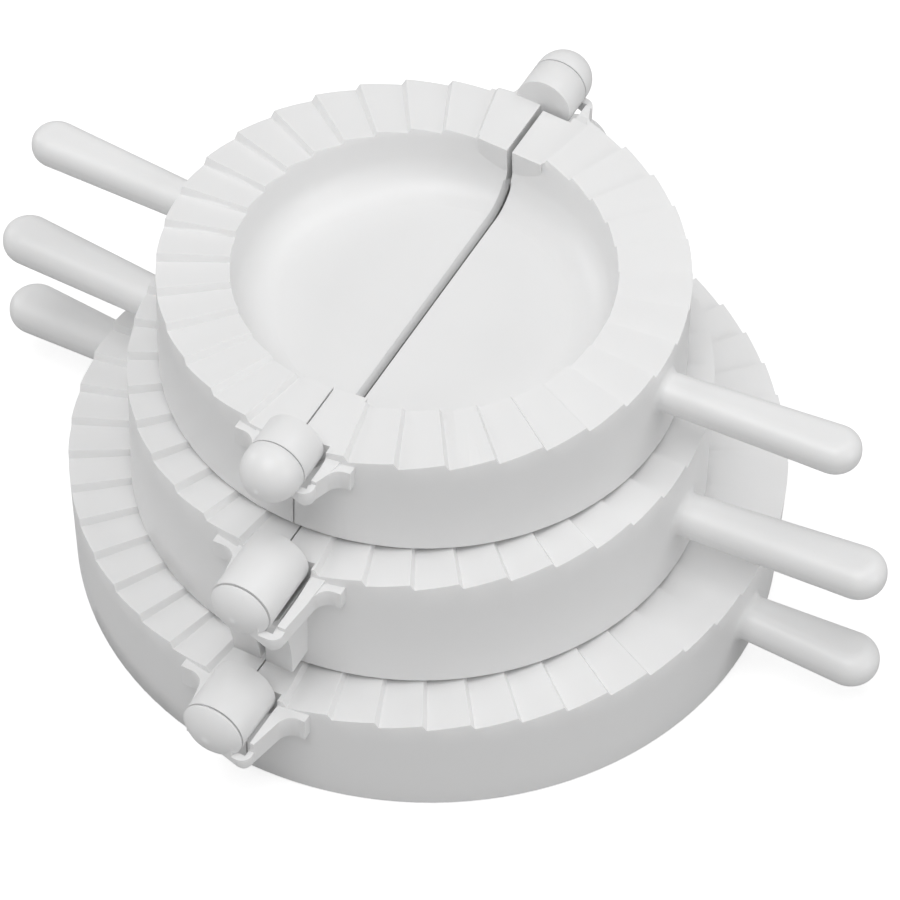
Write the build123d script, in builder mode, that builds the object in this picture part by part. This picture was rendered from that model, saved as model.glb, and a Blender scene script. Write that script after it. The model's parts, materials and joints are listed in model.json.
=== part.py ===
from build123d import *
import os
from dataclasses import dataclass
from math import cos, degrees, radians, sin, tan

# Set of three empanada presses, stacked large to small and lying open.
# Each press is two plastic halves snapped together on one fold axis.
# The left half carries a barrel at each end, the right half an arm, an end cap and a pin at each end.
# Frame: +Z up, +Y along the fold axes, +X along the right-hand handles.
# Origin: middle of the large press at the level of the surface it rests on.
# All lengths are millimetres and all angles are degrees.
# Both halves are made in their own frame as right-hand halves, with the hinge axis on the Y axis.
# The left one is then turned half round.


@dataclass
class Press:
    """Driving sizes of one press."""
    radius: float            # outer wall radius at the rim
    height: float            # base edge up to the hinge axis
    pleats: int              # pleats round one half, the two end pads counted
    pitch: float             # angle taken by one pleat
    bowl_radius: float       # opening radius of the bowl
    bowl_depth: float        # rim level down to the bowl floor
    barrel_radius: float     # hinge barrel
    joint_reach: float       # outer wall out to the hinge joint
    cap_radius: float        # hinge end cap
    cap_rim: float           # straight part of the end cap
    cap_dome: float          # domed part of the end cap
    arm_top: float           # hinge axis down to the top of the arm
    arm_tip: float           # slot out to the outside of the arm, where it meets the end cap
    arm_close: float         # length over which the arm runs close to the barrel
    ear_end: float           # fold plane to the end of an ear
    ear_top: float           # hinge axis down to the top of the ears
    gusset_out: float        # foot of a gusset out from the wall; a press with 0 has none
    handle_reach: float      # fold axis to the tip of the left-hand handle
    handle_more: float       # the right-hand handle is longer by this
    handle_width: float      # widest, near the tip
    handle_neck: float       # narrowest, at the wall
    handle_thick: float
    handle_drop: float       # hinge axis down to the middle of the handle, at the wall
    handle_rise: float       # upward tilt of the handle
    spread: float            # outer wall leans out towards the base by this share of its height
    place: tuple             # where the stack puts the middle of this press
    turn: float              # how far the stack turns it


# sizes that differ between the three presses
large = Press(radius=50.3, height=17.1, pleats=25, pitch=7.24, bowl_radius=35.8, bowl_depth=11.2,
              barrel_radius=4.5, joint_reach=7.6, cap_radius=4.4, cap_rim=0.3, cap_dome=1.8,
              arm_top=1.4, arm_tip=0.6, arm_close=3.2, ear_end=9.5, ear_top=0.7, gusset_out=0.0,
              handle_reach=69.8, handle_more=0.0, handle_width=8.0, handle_neck=6.2, handle_thick=5.6,
              handle_drop=8.2, handle_rise=1.5, spread=-0.012, place=(0.0, 0.0), turn=-1.2)
medium = Press(radius=39.8, height=19.3, pleats=20, pitch=9.1, bowl_radius=29.0, bowl_depth=10.0,
               barrel_radius=4.4, joint_reach=9.3, cap_radius=4.2, cap_rim=0.2, cap_dome=2.0,
               arm_top=1.1, arm_tip=1.1, arm_close=2.4, ear_end=9.5, ear_top=1.6, gusset_out=3.8,
               handle_reach=66.6, handle_more=2.6, handle_width=7.7, handle_neck=6.0, handle_thick=5.4,
               handle_drop=9.7, handle_rise=5.0, spread=0.017, place=(0.2, -3.2), turn=0.0)
small = Press(radius=35.6, height=15.9, pleats=17, pitch=10.45, bowl_radius=25.9, bowl_depth=8.5,
              barrel_radius=4.1, joint_reach=4.3, cap_radius=4.1, cap_rim=1.0, cap_dome=4.1,
              arm_top=0.9, arm_tip=0.7, arm_close=0.4, ear_end=8.4, ear_top=1.3, gusset_out=0.0,
              handle_reach=60.8, handle_more=2.6, handle_width=7.0, handle_neck=5.3, handle_thick=4.9,
              handle_drop=5.9, handle_rise=3.5, spread=0.017, place=(-0.5, -1.4), turn=0.0)

# body, shared by the three presses
fold_gap = 1.3           # slot between the two halves along the bowl
near_gap = 0.25          # the same between the pads of the near hinge
far_gap = 0.8            # the same between the pads of the far hinge
rim_drop = 0.15          # hinge axis down to the rim level, so closed rims keep a hair of space
wall = 1.7               # outer wall and fold wall
roof = 2.4               # rim thickness
skin = 1.6               # bowl wall and floor
bowl_lean = 1.4          # bowl radius lost between the opening and the floor
bowl_round = 5.2         # round between bowl wall and floor
base_round = 0.4
pad_reach = 4.8          # fold plane to the side of the pad beside a hinge
pad_inset = 1.2          # bowl opening in to the pad edge
pad_depth = 4.5          # rim level down to where the pad runs out into the bowl wall

# pleats
pleat_step = 1.0         # height of a pleat step at the outer edge
ramp_width = 0.6         # sloping face of a pleat step at the outer edge

# hinges
barrel_start = 0.6       # outer wall back to the inner end of a barrel
end_trim = 1.4           # outer wall back to the trimmed end of the right half's pads
slot = 0.5               # space between barrel and arm
close_gap = 0.3          # the same where the arm runs close to the barrel
joint_gap = 0.2          # barrel to end cap
bore_radius = 2.0
pin_radius = 1.95
bore_start = 0.6         # outer wall out to the bottom of the bore
pin_start = 1.0          # outer wall out to the tip of the pin
pin_root = 0.5           # pin sunk into the end cap
wall_root = 1.6          # arms, ribs and gussets start this far inside the outer wall
arm_root = 1.9           # width of the arm at the rim
arm_bottom = 4.4         # hinge axis down to the underside of the arm
arm_fall = 1.2           # how far the top of the arm falls on its way out
arm_round = 1.6          # outer corner where the arm turns into the end cap
plate_thick = 1.1        # disc at the end of the arm, inside the end cap
plate_share = 0.75       # its radius as a share of the end cap's
tip_back = 0.7           # joint back to the end of the taper of an arm or rib
taper_start = 0.3        # outer wall back to the start of that taper
rib_root = 1.5           # rib outside the barrel, at the wall
rib_tip = 0.3            # the same at its outer end
rib_top = 1.0            # hinge axis down to the top of the rib
ear_proud = 1.3          # ear outside the wall, at its end
ear_root = 2.4           # an ear starts this far inside the outer wall
ear_hollow = 2.2         # round of the hollow corner between an ear and the arm or rib
ear_bottom = 4.5         # hinge axis down to the underside of an ear
ear_round = 0.45
gusset_side = 4.4        # fold plane to the side of a gusset
gusset_top = 4.2         # hinge axis down to the lip of a gusset
gusset_sag = 0.8         # how far the sloping side of a gusset is hollowed
gusset_back = 2.4        # joint back to the lip of the right half's gussets
foot_lift = 2.8          # base edge up to the foot of a gusset

# handles and stack
neck_depth = 1.2         # handle sunk into the wall
neck_round = 1.0
stack_gap = 0.2          # space left under a press that stands on another

far = 100                # beyond every half, for the blocks that trim one


def wall_radius(p, z):
    """Outer wall radius at height z."""
    return p.radius - z * p.spread


def body(p, near):
    """Outer wall, rim and bowl of one half, open underneath; near is the sign of y at its near hinge."""
    top = pleat_step / 2 - rim_drop
    floor = -rim_drop - p.bowl_depth
    with BuildPart() as form:
        with BuildSketch(Plane.XZ):
            with BuildLine():
                Polyline(
                    (0, -p.height),
                    (wall_radius(p, -p.height), -p.height),
                    (wall_radius(p, top), top),
                    (p.bowl_radius, top),
                    (p.bowl_radius - bowl_lean, floor),
                    (0, floor),
                    close=True,
                )
            make_face()
            foot = vertices().filter_by_position(Axis.Y, floor - 0.1, floor + 0.1)
            fillet(foot.sort_by(Axis.X)[-1], bowl_round)
            edge = vertices().filter_by_position(Axis.Y, -p.height - 0.1, -p.height + 0.1)
            fillet(edge.sort_by(Axis.X)[-1], base_round)
        revolve(axis=Axis.Z)
        # pad beside each hinge, running out into the bowl wall
        pad_edge = p.bowl_radius - pad_inset
        pad_foot = p.bowl_radius - bowl_lean * pad_depth / (p.bowl_depth + rim_drop)
        with BuildSketch(Plane.YZ):
            with BuildLine():
                Polyline(
                    (pad_edge, top),
                    (pad_foot, -rim_drop - pad_depth),
                    (p.bowl_radius + 2, -rim_drop - pad_depth),
                    (p.bowl_radius + 2, top),
                    close=True,
                )
            make_face()
            mirror(about=Plane.YZ)
        extrude(amount=pad_reach)
        # the half stops short of the fold plane, and its pads come nearer to it
        with Locations((fold_gap / 2 - far, 0, 0)):
            Box(2 * far, 2 * pad_edge, 2 * far, mode=Mode.SUBTRACT)
        with Locations((near_gap / 2 - far, near * far, 0)):
            Box(2 * far, 2 * far, 2 * far, mode=Mode.SUBTRACT)
        with Locations((far_gap / 2 - far, -near * far, 0)):
            Box(2 * far, 2 * far, 2 * far, mode=Mode.SUBTRACT)
    return form.part


def hollow(p):
    """Space under the rim and bowl, kept back behind the fold wall."""
    floor = -rim_drop - p.bowl_depth
    foot = p.bowl_radius - bowl_lean
    inside = fold_gap / 2 + wall
    with BuildPart() as space:
        with BuildSketch(Plane.XZ):
            with BuildLine():
                Polyline(
                    (0, -p.height - 1),
                    (wall_radius(p, -p.height) - wall, -p.height - 1),
                    (wall_radius(p, -p.height) - wall, -p.height),
                    (p.radius - wall, -rim_drop - roof),
                    (p.bowl_radius + skin, -rim_drop - roof),
                    (foot + skin, floor - skin),
                    (0, floor - skin),
                    close=True,
                )
            make_face()
            corner = vertices().filter_by_position(Axis.Y, floor - skin - 0.1, floor - skin + 0.1)
            fillet(corner.sort_by(Axis.X)[-1], bowl_round + skin)
        revolve(axis=Axis.Z)
        with Locations((inside - far, 0, 0)):
            Box(2 * far, 2 * far, 2 * far, mode=Mode.SUBTRACT)
    return space.part


def rim_cutter(p, surface):
    """Wedge above the rim; surface lists (sideways, up) per unit of distance from the middle."""
    with BuildPart() as cutter:
        for r in (p.bowl_radius - 4, p.radius + 2):
            with BuildSketch(Plane.YZ.offset(r)):
                with BuildLine():
                    Polyline(
                        *[(r * a, r * b - rim_drop) for a, b in surface],
                        (r * surface[-1][0], 3),
                        (r * surface[0][0], 3),
                        close=True,
                    )
                make_face()
        loft(ruled=True)
    return cutter.part


def pleat_surfaces(p):
    """Surface of one pleat, of the near end pad and of the far end pad."""
    half = p.pitch / 2
    ramp = degrees(ramp_width / 2 / p.radius)
    k = pleat_step / 2 / p.radius
    low = k * cos(radians(half - ramp)) / cos(radians(half + ramp))
    onward = k * tan(radians(half - 2 * ramp)) / tan(radians(half - ramp))
    onward *= cos(radians(half - 2 * ramp)) / cos(radians(half + 2 * ramp))
    fall = [(tan(radians(half - ramp)), k), (tan(radians(half + ramp)), -low),
            (tan(radians(half + 2 * ramp)), -onward)]
    pleat = [(-tan(radians(half - ramp)), -k)] + fall
    # an end pad runs on from the last step to rim level at the fold plane
    turn = pad_turn(p)
    past = 93 - turn
    slope = k / (cos(radians(turn)) + tan(radians(half - ramp)) * sin(radians(turn)))
    beyond = slope * (cos(radians(turn)) - tan(radians(past)) * sin(radians(turn)))
    near = [(-tan(radians(past)), beyond)] + fall
    far = [(-tan(radians(half - ramp)), -k), (tan(radians(past)), -beyond)]
    return pleat, near, far


def pad_turn(p):
    """Angle from the handle to the place of the end pad."""
    return (p.pleats - 1) / 2 * p.pitch


def handle(p, reach):
    """Bar with rounded edges, wider towards a round tip at that reach from the fold axis."""
    start = p.radius - neck_depth
    length = (reach - start) / cos(radians(p.handle_rise))
    frame = Plane(
        origin=(start, 0, -p.handle_drop),
        x_dir=(cos(radians(p.handle_rise)), 0, sin(radians(p.handle_rise))),
        z_dir=(-sin(radians(p.handle_rise)), 0, cos(radians(p.handle_rise))),
    )
    tip = length - p.handle_width / 2
    with BuildPart() as bar:
        with BuildSketch(frame):
            with BuildLine():
                Line((0, p.handle_neck / 2), (tip, p.handle_width / 2))
                ThreePointArc((tip, p.handle_width / 2), (length, 0), (tip, -p.handle_width / 2))
                Line((tip, -p.handle_width / 2), (0, -p.handle_neck / 2))
                Line((0, -p.handle_neck / 2), (0, p.handle_neck / 2))
            make_face()
        extrude(amount=p.handle_thick / 2, both=True)
        rims = faces().sort_by(Axis.Z)[-1].edges() + faces().sort_by(Axis.Z)[0].edges()
        rims = [e for e in rims if (e @ 0.5).X > start + 1.5]
        fillet(rims, p.handle_thick / 2 - 0.2)
    return bar.part


def shell(p, near, reach):
    """One half without its hinges: body, handle and pleated rim."""
    form = body(p, near)
    pleat, near_pad, far_pad = pleat_surfaces(p)
    pleat_cut = rim_cutter(p, pleat)
    near_cut = rim_cutter(p, near_pad)
    far_cut = rim_cutter(p, far_pad)
    bar = handle(p, reach)
    whole = p.pleats - 2
    with BuildPart() as half:
        add(form)
        add(bar)
        below = -p.handle_drop - p.handle_thick
        above = -p.handle_drop + p.handle_thick
        meeting = edges().filter_by_position(Axis.X, p.radius - 0.6, p.radius + 1.2)
        meeting = meeting.filter_by_position(Axis.Y, -p.handle_neck, p.handle_neck)
        fillet(meeting.filter_by_position(Axis.Z, below, above), neck_round)
        first = -(whole - 1) / 2 * p.pitch
        with PolarLocations(0, whole, start_angle=first, angular_range=whole * p.pitch):
            add(pleat_cut, mode=Mode.SUBTRACT)
        with Locations(Location((0, 0, 0), (0, 0, -pad_turn(p)))):
            add(near_cut, mode=Mode.SUBTRACT)
        with Locations(Location((0, 0, 0), (0, 0, pad_turn(p)))):
            add(far_cut, mode=Mode.SUBTRACT)
    return half.part


def joint_end(p):
    """Distance from the middle of the press to the outer end of a barrel."""
    return p.radius + p.joint_reach


def ear(p, start, corner, tip):
    """Ear on the wall beside the far hinge, from x = start, with a hollow corner towards the point tip."""
    face = ((p.radius + ear_proud) ** 2 - p.ear_end**2) ** 0.5
    inside = p.radius - ear_root
    with BuildPart() as plate:
        with BuildSketch(Plane.XY.offset(-ear_bottom)):
            with BuildLine():
                Polyline(
                    (start, inside),
                    (p.ear_end, inside),
                    (p.ear_end, face),
                    (corner, face),
                    tip,
                    (start, tip[1]),
                    close=True,
                )
            make_face()
            outer = vertices().filter_by_position(Axis.Y, face - 0.01, face + 0.01).sort_by(Axis.X)
            fillet(outer[0], ear_hollow)
            fillet(outer[-1], ear_round)
        extrude(amount=ear_bottom - p.ear_top)
    return plate.part


def gusset(p, lip, start):
    """Gusset below the far hinge, from the lip (distance out) down to the wall near the base."""
    foot = (wall_radius(p, -p.height) + p.gusset_out, foot_lift - p.height)
    middle = ((lip + foot[0]) / 2 - gusset_sag, (foot[1] - gusset_top) / 2)
    inside = p.radius - wall_root
    with BuildPart() as block:
        with BuildSketch(Plane.YZ.offset(start)):
            with BuildLine():
                ThreePointArc((lip, -gusset_top), middle, foot)
                Polyline(
                    foot,
                    (inside, foot[1]),
                    (inside, -p.barrel_radius / 2),
                    (lip, -p.barrel_radius / 2),
                    (lip, -gusset_top),
                )
            make_face()
        extrude(amount=gusset_side - start)
    return block.part


def arm(p):
    """Arm beside the far hinge, which turns a round corner into the end cap."""
    side = p.barrel_radius + slot
    close = p.barrel_radius + close_gap
    joint = joint_end(p)
    face = joint + joint_gap
    core = p.cap_radius * plate_share
    with BuildPart() as bar:
        with BuildSketch(Plane.XY.offset(-arm_bottom)):
            with BuildLine():
                Polyline(
                    (0, face),
                    (close, face),
                    (close, joint - p.arm_close),
                    (side, joint - p.arm_close),
                    (side, p.radius - wall_root),
                    (side + arm_root, p.radius - wall_root),
                    (side + arm_root, p.radius - taper_start),
                    (side + p.arm_tip, joint - tip_back),
                    (side + p.arm_tip, face + plate_thick),
                    (0, face + plate_thick),
                    close=True,
                )
            make_face()
            fillet([v for v in vertices() if v.X > side and v.Y > face], arm_round)
        extrude(amount=arm_bottom)
        # its top slopes down towards the cap
        with BuildSketch(Plane.YZ.offset(core)):
            with BuildLine():
                Polyline(
                    (p.radius - wall_root, -p.arm_top),
                    (p.radius - taper_start, -p.arm_top),
                    (face, -p.arm_top - arm_fall),
                    (face + plate_thick, -p.arm_top - arm_fall),
                    (face + plate_thick, 0),
                    (p.radius - wall_root, 0),
                    close=True,
                )
            make_face()
        extrude(amount=side + arm_root, mode=Mode.SUBTRACT)
        # seen along the fold axis its end is a disc inside the cap and a web out to its lower corner
        with BuildSketch(Plane.XZ.offset(wall_root - p.radius)):
            Circle(core)
            with BuildLine():
                Polyline(
                    (0, 0),
                    (side + arm_root, 0),
                    (side + arm_root, -arm_bottom),
                    (side, -arm_bottom),
                    (core * cos(radians(60)), -core * sin(radians(60))),
                    close=True,
                )
            make_face()
        extrude(amount=-p.joint_reach * 2, mode=Mode.INTERSECT)
    return bar.part


def cap(p):
    """Domed end cap of the far hinge."""
    face = joint_end(p) + joint_gap
    with BuildPart() as dome:
        with BuildSketch(Plane.XY):
            with BuildLine():
                Polyline(
                    (0, face + p.cap_rim + p.cap_dome),
                    (0, face),
                    (p.cap_radius, face),
                    (p.cap_radius, face + p.cap_rim),
                )
                RadiusArc(
                    (p.cap_radius, face + p.cap_rim),
                    (0, face + p.cap_rim + p.cap_dome),
                    -(p.cap_radius**2 + p.cap_dome**2) / (2 * p.cap_dome),
                )
            make_face()
        revolve(axis=Axis.Y)
    return dome.part


def arm_half(p):
    """Right half: an arm, an end cap and a pin at each end of the fold axis."""
    base = shell(p, -1, p.handle_reach + p.handle_more)
    space = hollow(p)
    side = p.barrel_radius + slot
    joint = joint_end(p)
    wing = ear(p, side, side + arm_root, (side + p.arm_tip, joint - tip_back))
    sides = [wing]
    if p.gusset_out:
        sides.append(gusset(p, joint - gusset_back, far_gap / 2))
    link = arm(p)
    dome = cap(p)
    with BuildPart() as half:
        add(base)
        add(sides)
        mirror(sides, about=Plane.XZ)
        # room for the barrels
        for outward in (1, -1):
            with BuildSketch(Plane.XZ.offset(outward * (end_trim - p.radius))):
                Circle(side)
            extrude(amount=-outward * 2 * p.joint_reach, mode=Mode.SUBTRACT)
        add([link, dome])
        mirror([link, dome], about=Plane.XZ)
        # pins
        for outward in (1, -1):
            with BuildSketch(Plane.XZ.offset(-outward * (joint + joint_gap + pin_root))):
                Circle(pin_radius)
            extrude(amount=outward * (p.joint_reach + joint_gap + pin_root - pin_start))
        add(space, mode=Mode.SUBTRACT)
    return half.part


def barrel_half(p):
    """Left half, made as a right-hand one: a barrel with its bore at each end of the fold axis."""
    base = shell(p, 1, p.handle_reach)
    space = hollow(p)
    joint = joint_end(p)
    rib_side = p.barrel_radius + rib_root
    rib_end = (p.barrel_radius + rib_tip, joint - tip_back)
    wing = ear(p, p.barrel_radius / 2, rib_side, rib_end)
    with BuildPart() as rib:
        with BuildSketch(Plane.XY.offset(-arm_bottom)):
            with BuildLine():
                Polyline(
                    (p.barrel_radius / 2, p.radius - wall_root),
                    (rib_side, p.radius - wall_root),
                    (rib_side, p.radius - taper_start),
                    rib_end,
                    (p.barrel_radius / 2, joint - tip_back),
                    close=True,
                )
            make_face()
        extrude(amount=arm_bottom - rib_top)
    sides = [wing, rib.part]
    if p.gusset_out:
        sides.append(gusset(p, joint - tip_back, far_gap / 2))
    with BuildPart() as half:
        add(base)
        add(sides)
        mirror(sides, about=Plane.XZ)
        for outward in (1, -1):
            with BuildSketch(Plane.XZ.offset(outward * (barrel_start - p.radius))):
                Circle(p.barrel_radius)
            extrude(amount=-outward * (p.joint_reach + barrel_start))
            with BuildSketch(Plane.XZ.offset(-outward * (p.radius + bore_start))):
                Circle(bore_radius)
            extrude(amount=-outward * p.joint_reach, mode=Mode.SUBTRACT)
        add(space, mode=Mode.SUBTRACT)
    return half.part


large_arms = arm_half(large)
large_barrels = barrel_half(large)
medium_arms = arm_half(medium)
medium_barrels = barrel_half(medium)
small_arms = arm_half(small)
small_barrels = barrel_half(small)

# heights of the three hinge axes in the stack
crest = pleat_step / 2 - rim_drop
large_axis = large.height
medium_axis = large_axis + crest + stack_gap + medium.height
small_axis = medium_axis + crest + stack_gap + small.height

with BuildPart() as large_right_half:
    with Locations(Location((*large.place, large_axis), (0, 0, large.turn))):
        add(large_arms)

with BuildPart() as large_left_half:
    with Locations(Location((*large.place, large_axis), (0, 0, 180 + large.turn))):
        add(large_barrels)

with BuildPart() as medium_right_half:
    with Locations(Location((*medium.place, medium_axis), (0, 0, medium.turn))):
        add(medium_arms)

with BuildPart() as medium_left_half:
    with Locations(Location((*medium.place, medium_axis), (0, 0, 180 + medium.turn))):
        add(medium_barrels)

with BuildPart() as small_right_half:
    with Locations(Location((*small.place, small_axis), (0, 0, small.turn))):
        add(small_arms)

with BuildPart() as small_left_half:
    with Locations(Location((*small.place, small_axis), (0, 0, 180 + small.turn))):
        add(small_barrels)

large_right_half.part.label = "large_right_half"
large_left_half.part.label = "large_left_half"
medium_right_half.part.label = "medium_right_half"
medium_left_half.part.label = "medium_left_half"
small_right_half.part.label = "small_right_half"
small_left_half.part.label = "small_left_half"

os.makedirs("parts", exist_ok=True)
export_step(large_right_half.part, "parts/large_right_half.step")
export_step(large_left_half.part, "parts/large_left_half.step")
export_step(medium_right_half.part, "parts/medium_right_half.step")
export_step(medium_left_half.part, "parts/medium_left_half.step")
export_step(small_right_half.part, "parts/small_right_half.step")
export_step(small_left_half.part, "parts/small_left_half.step")
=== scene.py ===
import json
from math import cos, radians, sin

import bmesh
import bpy
from mathutils import Matrix, Vector


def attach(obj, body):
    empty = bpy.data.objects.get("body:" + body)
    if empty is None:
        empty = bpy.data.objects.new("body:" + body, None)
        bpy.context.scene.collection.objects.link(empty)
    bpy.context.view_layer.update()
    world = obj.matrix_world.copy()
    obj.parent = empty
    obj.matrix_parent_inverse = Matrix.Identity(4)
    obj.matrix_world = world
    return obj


# Looks of the three stacked presses: white moulded plastic on a plain white floor under soft light.
# Lengths are metres.
MM = 0.001
UP = Vector((0, 0, 1))

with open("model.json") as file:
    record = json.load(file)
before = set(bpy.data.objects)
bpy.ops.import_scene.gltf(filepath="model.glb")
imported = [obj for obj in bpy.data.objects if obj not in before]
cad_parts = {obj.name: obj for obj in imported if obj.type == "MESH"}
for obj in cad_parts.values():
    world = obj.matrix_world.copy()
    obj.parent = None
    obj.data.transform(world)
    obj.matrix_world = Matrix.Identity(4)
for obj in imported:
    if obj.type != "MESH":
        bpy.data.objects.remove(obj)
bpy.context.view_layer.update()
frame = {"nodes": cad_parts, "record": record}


# ---------------------------------------------------------------- shader nodes

NOISE_LOW = 0.3                     # most of a noise lies between these two
NOISE_HIGH = 0.7


def node(tree, kind, **sockets):
    """Adds a shader node; sockets sets its inputs by name, with _ for a space."""
    made = tree.nodes.new(kind)
    for name, value in sockets.items():
        made.inputs[name.replace("_", " ")].default_value = value
    return made


def noise(tree, place, size, detail):
    """Noise whose blobs are about as wide as size."""
    made = node(tree, "ShaderNodeTexNoise", Scale=1 / size, Detail=detail)
    tree.links.new(place, made.inputs["Vector"])
    return made.outputs["Fac"]


def strokes(tree, place, along, across, turn):
    """Noise drawn out into strokes, along by across in size and turned about the upright."""
    squeeze = node(tree, "ShaderNodeMapping", Rotation=(0, 0, turn))
    squeeze.inputs["Scale"].default_value = (1 / along, 1 / across, 1 / across)
    tree.links.new(place, squeeze.inputs["Vector"])
    return noise(tree, squeeze.outputs["Vector"], size=1.0, detail=2.0)


def spread(tree, value, low, high):
    """Maps the middle part of a noise to the range low to high."""
    made = node(tree, "ShaderNodeMapRange", From_Min=NOISE_LOW, From_Max=NOISE_HIGH, To_Min=low, To_Max=high)
    tree.links.new(value, made.inputs["Value"])
    return made.outputs["Result"]


def combined(tree, operation, first, second):
    """Sum or product of two values."""
    made = tree.nodes.new("ShaderNodeMath")
    made.operation = operation
    tree.links.new(first, made.inputs[0])
    tree.links.new(second, made.inputs[1])
    return made.outputs["Value"]


def bump(tree, height, depth, below=None):
    """Bump of that depth over a height of 0 to 1, on top of another normal."""
    made = node(tree, "ShaderNodeBump", Strength=1.0, Distance=depth)
    tree.links.new(height, made.inputs["Height"])
    if below:
        tree.links.new(below, made.inputs["Normal"])
    return made.outputs["Normal"]


# ---------------------------------------------------------------- white moulded plastic

TONE = (0.82, 0.82, 0.82)
REFRACTION = 1.49                   # refractive index
SCATTER_SHARE = 0.2                 # of the light, which spreads below the surface
SCATTER_REACH = 1.0 * MM
SCATTER_TINT = (1.0, 0.95, 0.9)     # share of that reach for red, green and blue
CLOUD_SIZE = 14 * MM                # slow cloudiness of the colour and of the finish
CLOUD_TONE = 0.985                  # tone of the darker clouds, as a share of TONE
SATIN = (0.36, 0.41)                # roughness, from cloud to cloud
SCUFF_LENGTH = 12 * MM
SCUFF_WIDTH = 0.7 * MM
SCUFF_TURN = radians(24)
SCUFF_DULLING = 0.012               # roughness that the faint scuffs of use add
SINK_SIZE = 11 * MM                 # slow waves that a moulding has where it shrank
SINK_DEPTH = 0.02 * MM
GRAIN_SIZE = 0.4 * MM               # fine grain of the tool's surface
GRAIN_DEPTH = 0.0005 * MM
PATTERN_STEP = (0.11, 0.07, 0.0)    # moves the pattern from one half to the next, so that no two look alike


def moulded_plastic(name, shift):
    """Satin white moulded plastic, with its pattern moved by shift."""
    material = bpy.data.materials.new(name)
    material.use_nodes = True
    tree = material.node_tree
    shader = tree.nodes["Principled BSDF"]
    shader.inputs["IOR"].default_value = REFRACTION
    shader.inputs["Subsurface Weight"].default_value = SCATTER_SHARE
    shader.inputs["Subsurface Radius"].default_value = SCATTER_TINT
    shader.inputs["Subsurface Scale"].default_value = SCATTER_REACH

    where = tree.nodes.new("ShaderNodeTexCoord")
    moved = node(tree, "ShaderNodeMapping", Location=shift)
    tree.links.new(where.outputs["Object"], moved.inputs["Vector"])
    place = moved.outputs["Vector"]

    cloud = noise(tree, place, CLOUD_SIZE, detail=3.0)
    shade = tree.nodes.new("ShaderNodeMix")
    shade.data_type = "RGBA"
    shade.inputs["A"].default_value = (*[part * CLOUD_TONE for part in TONE], 1)
    shade.inputs["B"].default_value = (*TONE, 1)
    tree.links.new(spread(tree, cloud, 0.0, 1.0), shade.inputs["Factor"])
    tree.links.new(shade.outputs["Result"], shader.inputs["Base Color"])

    scuffs = strokes(tree, place, SCUFF_LENGTH, SCUFF_WIDTH, SCUFF_TURN)
    finish = combined(tree, "ADD", spread(tree, cloud, *SATIN), spread(tree, scuffs, 0.0, SCUFF_DULLING))
    tree.links.new(finish, shader.inputs["Roughness"])

    sink = bump(tree, noise(tree, place, SINK_SIZE, detail=1.0), SINK_DEPTH)
    grain = bump(tree, noise(tree, place, GRAIN_SIZE, detail=2.0), GRAIN_DEPTH, sink)
    tree.links.new(grain, shader.inputs["Normal"])
    return material


# ---------------------------------------------------------------- rounded edges

WELD = 0.002 * MM                   # joins the doubled points along the borders of the CAD faces
EDGE_ROUND = 0.15 * MM
EDGE_ANGLE = radians(28)            # edges that turn more than this are rounded


def soften_edges(half):
    """Small rounds along the sharp edges, as a moulding has."""
    weld = half.modifiers.new("weld", "WELD")
    weld.merge_threshold = WELD
    edge = half.modifiers.new("edge", "BEVEL")
    edge.width = EDGE_ROUND
    edge.segments = 2
    edge.limit_method = "ANGLE"
    edge.angle_limit = EDGE_ANGLE


# ---------------------------------------------------------------- lips of the slots

FOLD_GAP = 1.3 * MM                 # slot between the two halves of a press
NEAR_FLAT = 0.01 * MM               # a point this near to the left half's flat lies on it
FLAT_FACING = 0.99                  # the flat's normal points across the slot by more than this
BOWL_FACING = 0.3                   # the bowl's normal points across the slot by less than this,
BOWL_RISE = 0.2                     # and upwards by more than this
LIP_WIDE = 0.56 * MM                # of the slot's width
LIP_FALL = 1.32 * MM                # drop of the rolled edge
LIP_START = radians(60)             # slope where the roll leaves the bowl, so that its edge is crisp
LIP_END = radians(76)               # slope at its foot
LIP_ROOT = 0.4 * MM                 # held in the left half
LIP_DEEP = 3.0 * MM                 # its root's depth: the lip is undercut, so the gap beside it stays dark
LIP_SINK = 0.01 * MM                # below the bowl's surface, so that the two don't flicker
LIP_STEPS = 6                       # facets across the roll
LIP_CREASE = radians(35)            # edges that turn more than this stay sharp


def slot_line(mesh, place, along, right):
    """Points where a left half's bowl meets its flat beside the slot: (distance along, height) of each."""
    normals = {}
    for face in mesh.polygons:
        for index in face.vertices:
            normals.setdefault(tuple(mesh.vertices[index].co), []).append(face.normal)
    line = {}
    for point, meeting in normals.items():
        offset = Vector(point) - place
        beside_slot = abs(offset.dot(right) + FOLD_GAP / 2) < NEAR_FLAT
        on_flat = any(abs(normal.dot(right)) > FLAT_FACING for normal in meeting)
        on_bowl = any(normal.z > BOWL_RISE and abs(normal.dot(right)) < BOWL_FACING for normal in meeting)
        if beside_slot and on_flat and on_bowl:
            # rounded to 0.01 mm, so that points on the same spot count once
            line[round(offset.dot(along), 5)] = offset.z
    return sorted(line.items())


def lip_profile():
    """Section of a lip from the bowl's edge: (distance into the slot, depth below the bowl) of each point."""
    points = [(-LIP_ROOT, LIP_DEEP), (-LIP_ROOT, LIP_SINK)]
    for step in range(LIP_STEPS + 1):
        slope = LIP_START + (LIP_END - LIP_START) * step / LIP_STEPS
        out = (sin(slope) - sin(LIP_START)) / (sin(LIP_END) - sin(LIP_START))
        down = (cos(LIP_START) - cos(slope)) / (cos(LIP_START) - cos(LIP_END))
        points.append((LIP_WIDE * out, LIP_SINK + LIP_FALL * down))
    return points


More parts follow.
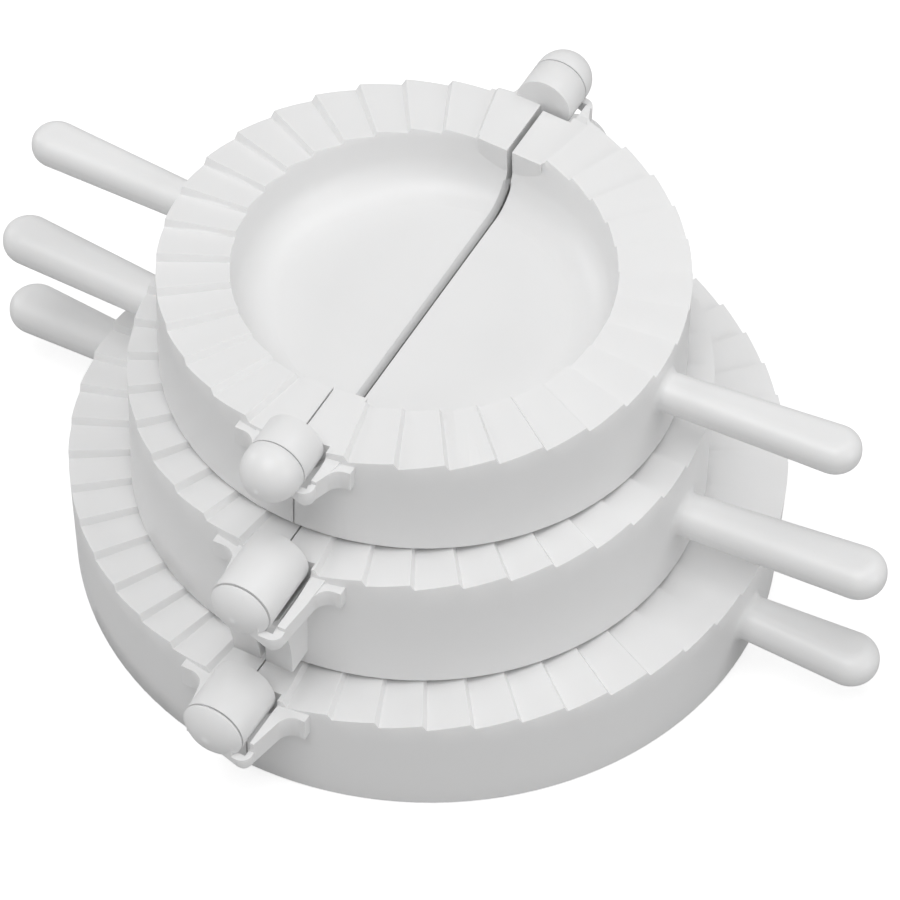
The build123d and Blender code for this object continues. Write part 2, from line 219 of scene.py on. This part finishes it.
def closed_tube(rings, size):
    """Faces of a tube through rings of size points each, closed at both ends."""
    last = (rings - 1) * size
    faces = [tuple(range(size)), tuple(range(last + size - 1, last - 1, -1))]
    for first in range(0, last, size):
        for corner in range(size):
            beside = (corner + 1) % size
            faces.append((first + corner, first + size + corner, first + size + beside, first + beside))
    return faces


def face_outwards(mesh):
    """Turns all faces of a closed mesh outwards."""
    shape = bmesh.new()
    shape.from_mesh(mesh)
    bmesh.ops.recalc_face_normals(shape, faces=shape.faces)
    shape.to_mesh(mesh)
    shape.free()


def add_lip(press, fold):
    """Rolled edge of a left half's bowl, which covers part of the slot and turns down into it."""
    half = frame["nodes"][press + "_left_half"]
    place = Vector(fold["pos_m"])
    along = -Vector(fold["axis"])
    right = along.cross(UP)
    edge = place - right * FOLD_GAP / 2
    line = slot_line(half.data, place, along, right)
    profile = lip_profile()
    points = []
    for index, (reach, height) in enumerate(line):
        before = line[max(index - 1, 0)]
        after = line[min(index + 1, len(line) - 1)]
        run = after[0] - before[0]
        climb = after[1] - before[1]
        inward = (along * climb - UP * run).normalized()
        root = edge + along * reach + UP * height
        for out, down in profile:
            points.append(root + right * out + inward * down)

    mesh = bpy.data.meshes.new(press + "_lip")
    mesh.from_pydata(points, [], closed_tube(len(line), len(profile)))
    mesh.materials.append(half.data.materials[0])
    face_outwards(mesh)
    mesh.shade_smooth()
    mesh.set_sharp_from_angle(angle=LIP_CREASE)
    piece = bpy.data.objects.new(press + "_lip", mesh)
    bpy.context.scene.collection.objects.link(piece)
    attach(piece, press + "_left")


for index, (name, half) in enumerate(sorted(frame["nodes"].items())):
    shift = [step * index for step in PATTERN_STEP]
    half.data.materials.clear()
    half.data.materials.append(moulded_plastic("plastic_" + name, shift))
    soften_edges(half)
for joint in frame["record"]["behaviour"]["joints"]:
    if joint["name"].endswith("_fold"):
        add_lip(joint["name"].removesuffix("_fold"), joint)


# ---------------------------------------------------------------- floor

FLOOR_HALF = 3.0                    # half the length of the floor's sides
FLOOR_DROP = 0.05 * MM              # below the base, so that the two don't flicker
FLOOR_TONE = (0.52, 0.52, 0.52, 1)
GLOW_NEAR = 0.66                    # the floor's own white, less by the object, where the lamps add to it
GLOW_FAR = 0.82
FADE_START = 0.25                   # the white grows between these two distances from the middle
FADE_END = 1.3


def paper():
    """Matt floor with a white of its own that only the camera sees, so that it lights nothing."""
    material = bpy.data.materials.new("paper")
    material.use_nodes = True
    tree = material.node_tree
    tree.nodes.remove(tree.nodes["Principled BSDF"])
    matt = node(tree, "ShaderNodeBsdfDiffuse", Color=FLOOR_TONE)

    where = tree.nodes.new("ShaderNodeTexCoord")
    away = tree.nodes.new("ShaderNodeVectorMath")
    away.operation = "LENGTH"
    tree.links.new(where.outputs["Object"], away.inputs[0])
    fade = node(tree, "ShaderNodeMapRange", From_Min=FADE_START, From_Max=FADE_END)
    fade.inputs["To Min"].default_value = GLOW_NEAR
    fade.inputs["To Max"].default_value = GLOW_FAR
    fade.interpolation_type = "SMOOTHSTEP"
    tree.links.new(away.outputs["Value"], fade.inputs["Value"])
    seen = tree.nodes.new("ShaderNodeLightPath")
    glow = tree.nodes.new("ShaderNodeEmission")
    strength = combined(tree, "MULTIPLY", seen.outputs["Is Camera Ray"], fade.outputs["Result"])
    tree.links.new(strength, glow.inputs["Strength"])

    both = tree.nodes.new("ShaderNodeAddShader")
    tree.links.new(matt.outputs["BSDF"], both.inputs[0])
    tree.links.new(glow.outputs["Emission"], both.inputs[1])
    tree.links.new(both.outputs["Shader"], tree.nodes["Material Output"].inputs["Surface"])
    return material


floor_mesh = bpy.data.meshes.new("floor")
floor_mesh.from_pydata(
    [(-FLOOR_HALF, -FLOOR_HALF, -FLOOR_DROP), (FLOOR_HALF, -FLOOR_HALF, -FLOOR_DROP),
     (FLOOR_HALF, FLOOR_HALF, -FLOOR_DROP), (-FLOOR_HALF, FLOOR_HALF, -FLOOR_DROP)],
    [], [(0, 1, 2, 3)],
)
floor_mesh.materials.append(paper())
floor = bpy.data.objects.new("floor", floor_mesh)
bpy.context.scene.collection.objects.link(floor)


# ---------------------------------------------------------------- room and lamps

WHITE = (1.0, 1.0, 1.0, 1)
ROOM_STRENGTH = 0.39                # light that the room sends in from all sides
BACKDROP_STRENGTH = 1.0             # the room as the camera sees it
MIDDLE = Vector((0.0, 0.0, 0.03))   # of the object
LAMP_AWAY = 2.5


def room():
    """White room that looks brighter to the camera than the light it gives."""
    world = bpy.data.worlds.new("studio")
    world.use_nodes = True
    tree = world.node_tree
    light = tree.nodes["Background"]
    light.inputs["Color"].default_value = WHITE
    light.inputs["Strength"].default_value = ROOM_STRENGTH
    backdrop = node(tree, "ShaderNodeBackground", Color=WHITE, Strength=BACKDROP_STRENGTH)
    seen = tree.nodes.new("ShaderNodeLightPath")
    pick = tree.nodes.new("ShaderNodeMixShader")
    tree.links.new(seen.outputs["Is Camera Ray"], pick.inputs["Fac"])
    tree.links.new(light.outputs["Background"], pick.inputs[1])
    tree.links.new(backdrop.outputs["Background"], pick.inputs[2])
    tree.links.new(pick.outputs["Shader"], tree.nodes["World Output"].inputs["Surface"])
    return world


def softbox(name, azimuth, elevation, size, power):
    """Square lamp that faces the object's middle, with its power in watts and its place in degrees.

    Azimuth 0 is in front and 90 on the right.
    """
    flat = cos(radians(elevation))
    to_lamp = Vector((sin(radians(azimuth)) * flat, -cos(radians(azimuth)) * flat, sin(radians(elevation))))
    data = bpy.data.lights.new(name, "AREA")
    data.size = size
    data.energy = power
    lamp = bpy.data.objects.new(name, data)
    lamp.location = MIDDLE + to_lamp * LAMP_AWAY
    lamp.rotation_mode = "QUATERNION"
    lamp.rotation_quaternion = (-to_lamp).to_track_quat("-Z", "Y")
    bpy.context.scene.collection.objects.link(lamp)


bpy.context.scene.world = room()
softbox("key", azimuth=0, elevation=70, size=1.6, power=29.3)
softbox("back", azimuth=135, elevation=60, size=1.25, power=9.1)
softbox("right_fill", azimuth=90, elevation=22, size=1.0, power=9.4)
softbox("left_fill", azimuth=270, elevation=22, size=1.0, power=9.4)


# ---------------------------------------------------------------- camera

PHOTO = 900                         # pixels along each side of the frame
AZIMUTH = radians(27.19)            # the camera stands in front, turned towards the right-hand handles
ELEVATION = radians(45.86)
ROLL = radians(1.58)
DISTANCE = 497.3 * MM               # camera to the aim point
AIM = Vector((-0.7, -1.4, 53.25)) * MM      # aim point, in the middle of the small press's rim
AIM_PIXEL = (419.7, 265.9)          # where the aim point is seen, from the frame's top left corner
FOCAL_PIXELS = 3745.6
SENSOR_MM = 36.0
CLIP_NEAR = 0.01
CLIP_FAR = 20.0


def level_axes(forward):
    """Right and up of a level picture that is taken along forward."""
    right = forward.cross(UP).normalized()
    return right, right.cross(forward)


to_camera = Vector((sin(AZIMUTH) * cos(ELEVATION), -cos(AZIMUTH) * cos(ELEVATION), sin(ELEVATION)))
right, up = level_axes(-to_camera)
aside = (PHOTO / 2 - AIM_PIXEL[0]) / FOCAL_PIXELS
above = (AIM_PIXEL[1] - PHOTO / 2) / FOCAL_PIXELS
forward = (-to_camera + aside * right + above * up).normalized()
right, up = level_axes(forward)
rolled_right = cos(ROLL) * right + sin(ROLL) * up
rolled_up = cos(ROLL) * up - sin(ROLL) * right
turn = Matrix((rolled_right, rolled_up, -forward)).transposed()

lens = bpy.data.cameras.new("camera")
lens.sensor_width = SENSOR_MM
lens.lens = FOCAL_PIXELS * SENSOR_MM / PHOTO
lens.clip_start = CLIP_NEAR
lens.clip_end = CLIP_FAR
camera = bpy.data.objects.new("camera", lens)
camera.matrix_world = Matrix.Translation(AIM + DISTANCE * to_camera) @ turn.to_4x4()
bpy.context.scene.collection.objects.link(camera)
bpy.context.scene.camera = camera
bpy.context.scene.view_settings.view_transform = "Standard"
